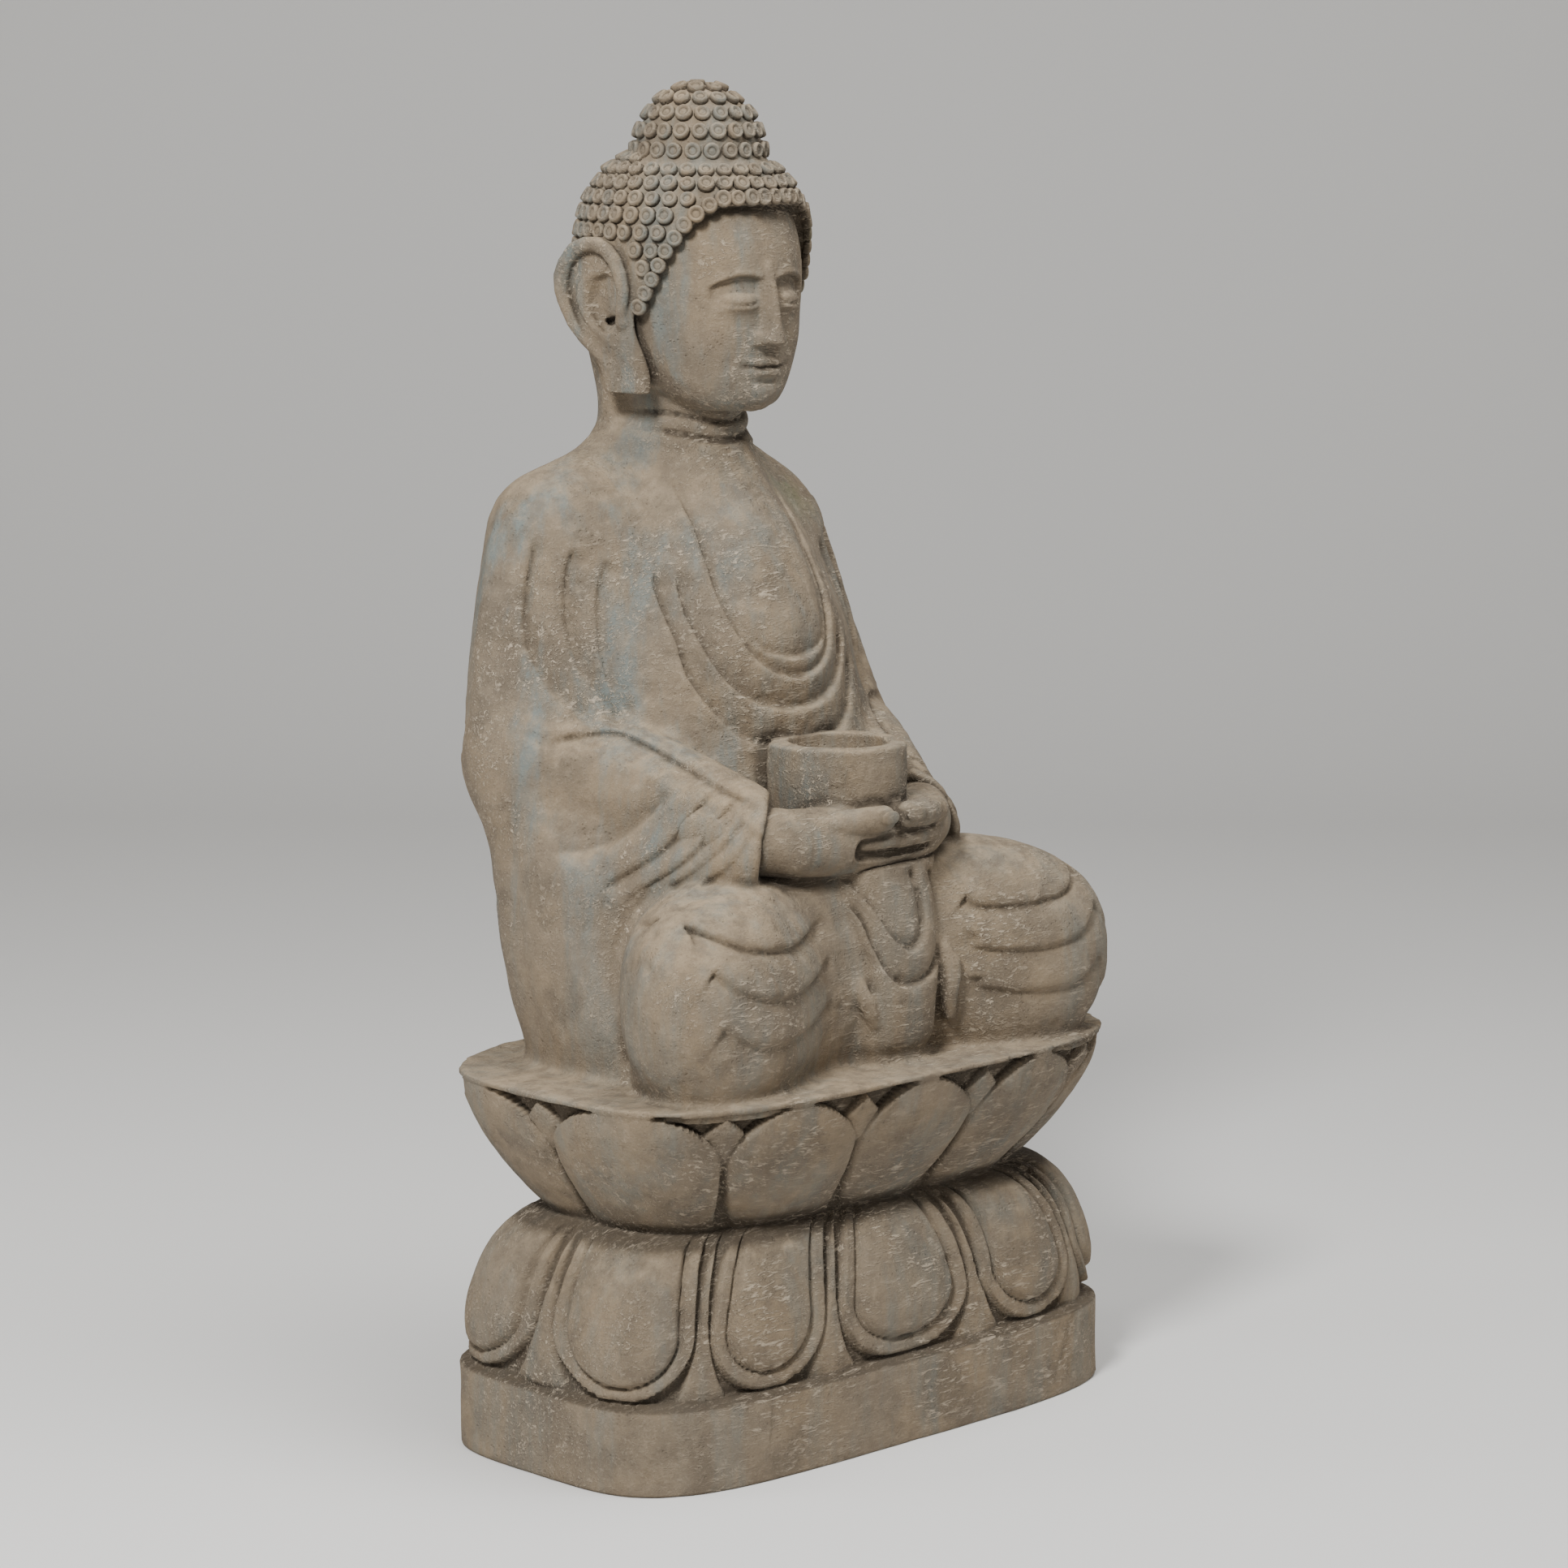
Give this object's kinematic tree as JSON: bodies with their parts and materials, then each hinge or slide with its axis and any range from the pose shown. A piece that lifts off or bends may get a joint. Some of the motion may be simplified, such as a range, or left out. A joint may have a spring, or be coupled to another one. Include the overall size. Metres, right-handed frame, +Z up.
{
  "type": "seated buddha statue",
  "caption": "Carved stone figure of a buddha seated cross-legged with a bowl in the lap, on a double lotus throne with a plain plinth band.",
  "frame": {"origin": "centre of the plinth's flat underside", "axes": "+Z up, the figure faces -Y, and its left hand is on the +X side"},
  "size_m": [0.62, 0.4158, 1.194],
  "materials": {
    "limestone": null
  },
  "bodies": {
    "root": {"seated_buddha": "limestone"}
  },
  "joints": []
}
